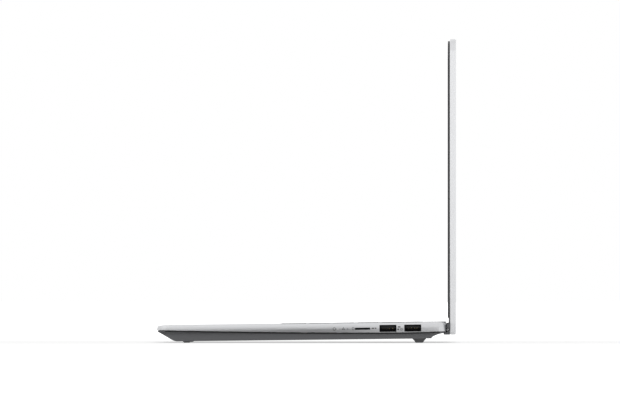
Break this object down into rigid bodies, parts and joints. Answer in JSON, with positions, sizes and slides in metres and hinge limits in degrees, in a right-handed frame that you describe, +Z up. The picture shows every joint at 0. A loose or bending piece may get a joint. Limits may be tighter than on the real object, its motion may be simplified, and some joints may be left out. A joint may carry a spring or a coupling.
{
  "type": "laptop computer",
  "caption": "Thin silver clamshell laptop with a dark underside, standing open at a right angle, with a moving lid, keys, touchpad, power button, fan and camera shutter.",
  "frame": {"origin": "on the desk under the middle of the open laptop's box", "axes": "+X to the user's right, +Y from the front lip to the hinge, +Z up"},
  "size_m": [0.312, 0.2236, 0.2271],
  "materials": {
    "silver_aluminium": "fine-blasted anodised",
    "lid_aluminium": "fine-blasted anodised, polished chamfer",
    "dark_aluminium": "fine-blasted anodised, dark grey",
    "foot_rubber": "matt",
    "key_plastic": "fine matt with printed characters",
    "touchpad_glass": "etched matt glass",
    "bezel_plastic": "black satin",
    "strip_plastic": "grey satin",
    "screen_glass": "glossy black",
    "panel_stack": "satin",
    "lens_glass": "polished",
    "shutter_plastic": "satin",
    "hinge_steel": "satin",
    "screw_steel": "black zinc",
    "port_steel": "plain",
    "black_plastic": "matt",
    "light_plastic": "milky",
    "sheet_metal": "plain",
    "membrane_plastic": "milky",
    "board_green": "solder mask",
    "chip_black": "matt",
    "copper": "bright",
    "cell_foil": "foil",
    "ribbon": "film",
    "cable_black": "matt"
  },
  "bodies": {
    "base": {"top_case": "silver_aluminium", "bottom_cover": "dark_aluminium", "front_feet": "foot_rubber", "rear_foot": "foot_rubber", "keyboard_grid": "silver_aluminium", "keyboard_membrane": "membrane_plastic", "keyboard_plate": "sheet_metal", "touchpad_bracket": "sheet_metal", "battery_frame": "black_plastic", "battery_cells": "cell_foil", "speakers": "black_plastic", "mainboard": "board_green", "processor": "chip_black", "memory_chips": "chip_black", "heat_pipe": "copper", "cooling_fins": "sheet_metal", "fan_housing": "black_plastic", "solid_state_drive": "board_green", "wireless_card": "sheet_metal", "side_board": "board_green", "front_full_size_port": "port_steel", "rear_full_size_port": "port_steel", "card_reader": "port_steel", "video_port": "port_steel", "charge_ports": "port_steel", "audio_socket": "black_plastic", "status_light": "light_plastic", "flat_cables": "ribbon", "bottom_screws": "screw_steel", "hinge_brackets": "hinge_steel", "hinge_pins": "hinge_steel", "hinge_screws": "screw_steel", "base_display_cable": "cable_black"},
    "lid": {"hinge_arms": "hinge_steel", "lid_screws": "screw_steel", "hinge_barrels": "bezel_plastic", "lid_display_cable": "cable_black", "lid_cover": "lid_aluminium", "display_bezel": "bezel_plastic", "display_glass": "screen_glass", "display_panel": "panel_stack", "hinge_strip": "strip_plastic", "camera_board": "board_green", "camera_lens": "lens_glass"},
    "camera_shutter": {"camera_shutter": "shutter_plastic"},
    "fan_rotor": {"fan_rotor": "black_plastic"},
    "touchpad": {"touchpad": "touchpad_glass"},
    "power_button": {"power_button": "silver_aluminium"},
    "function_keys": {"function_keys": "key_plastic"},
    "number_keys": {"number_keys": "key_plastic"},
    "backspace_key": {"backspace_key": "key_plastic"},
    "upper_letter_keys": {"upper_letter_keys": "key_plastic"},
    "home_letter_keys": {"home_letter_keys": "key_plastic"},
    "enter_key": {"enter_key": "key_plastic"},
    "left_shift_key": {"left_shift_key": "key_plastic"},
    "lower_letter_keys": {"lower_letter_keys": "key_plastic"},
    "right_shift_key": {"right_shift_key": "key_plastic"},
    "modifier_keys": {"modifier_keys": "key_plastic"},
    "space_bar": {"space_bar": "key_plastic"},
    "arrow_keys": {"arrow_keys": "key_plastic"}
  },
  "joints": [
    {"name": "lid_hinge", "type": "hinge", "parent": "base", "child": "lid", "pos_m": [0, 0.10254, 0.01277], "axis": [-1, 0, 0], "range_deg": [-90.77, 40]},
    {"name": "camera_shutter_slide", "type": "slide", "parent": "lid", "child": "camera_shutter", "axis": [-1, 0, 0], "range_m": [0, 0.0057]},
    {"name": "fan_spin", "type": "hinge", "parent": "base", "child": "fan_rotor", "pos_m": [0.056, 0.0563, 0.00755], "axis": [0, -0.0134, 0.9999], "continuous": true},
    {"name": "touchpad_click", "type": "hinge", "parent": "base", "child": "touchpad", "pos_m": [0, -0.03029, 0.01374], "axis": [1, 0, 0], "range_deg": [0, 0.3], "stiffness_Nm_per_rad": 19, "springref_deg": -0.23},
    {"name": "power_button_press", "type": "slide", "parent": "base", "child": "power_button", "axis": [0, 0.0134, -0.9999], "range_m": [0, 0.0005], "stiffness_N_per_m": 1500, "springref_m": -0.0002},
    {"name": "function_keys_press", "type": "slide", "parent": "base", "child": "function_keys", "axis": [0, 0.0134, -0.9999], "range_m": [0, 0.0014], "stiffness_N_per_m": 6880, "springref_m": -0.0002},
    {"name": "number_keys_press", "type": "slide", "parent": "base", "child": "number_keys", "axis": [0, 0.0134, -0.9999], "range_m": [0, 0.0014], "stiffness_N_per_m": 5590, "springref_m": -0.0002},
    {"name": "backspace_key_press", "type": "slide", "parent": "base", "child": "backspace_key", "axis": [0, 0.0134, -0.9999], "range_m": [0, 0.0014], "stiffness_N_per_m": 430, "springref_m": -0.0002},
    {"name": "upper_letter_keys_press", "type": "slide", "parent": "base", "child": "upper_letter_keys", "axis": [0, 0.0134, -0.9999], "range_m": [0, 0.0014], "stiffness_N_per_m": 6020, "springref_m": -0.0002},
    {"name": "home_letter_keys_press", "type": "slide", "parent": "base", "child": "home_letter_keys", "axis": [0, 0.0134, -0.9999], "range_m": [0, 0.0014], "stiffness_N_per_m": 5160, "springref_m": -0.0002},
    {"name": "enter_key_press", "type": "slide", "parent": "base", "child": "enter_key", "axis": [0, 0.0134, -0.9999], "range_m": [0, 0.0014], "stiffness_N_per_m": 430, "springref_m": -0.0002},
    {"name": "left_shift_key_press", "type": "slide", "parent": "base", "child": "left_shift_key", "axis": [0, 0.0134, -0.9999], "range_m": [0, 0.0014], "stiffness_N_per_m": 430, "springref_m": -0.0002},
    {"name": "lower_letter_keys_press", "type": "slide", "parent": "base", "child": "lower_letter_keys", "axis": [0, 0.0134, -0.9999], "range_m": [0, 0.0014], "stiffness_N_per_m": 4300, "springref_m": -0.0002},
    {"name": "right_shift_key_press", "type": "slide", "parent": "base", "child": "right_shift_key", "axis": [0, 0.0134, -0.9999], "range_m": [0, 0.0014], "stiffness_N_per_m": 430, "springref_m": -0.0002},
    {"name": "modifier_keys_press", "type": "slide", "parent": "base", "child": "modifier_keys", "axis": [0, 0.0134, -0.9999], "range_m": [0, 0.0014], "stiffness_N_per_m": 2580, "springref_m": -0.0002},
    {"name": "space_bar_press", "type": "slide", "parent": "base", "child": "space_bar", "axis": [0, 0.0134, -0.9999], "range_m": [0, 0.0014], "stiffness_N_per_m": 500, "springref_m": -0.0002},
    {"name": "arrow_keys_press", "type": "slide", "parent": "base", "child": "arrow_keys", "axis": [0, 0.0134, -0.9999], "range_m": [0, 0.0014], "stiffness_N_per_m": 1720, "springref_m": -0.0002}
  ]
}
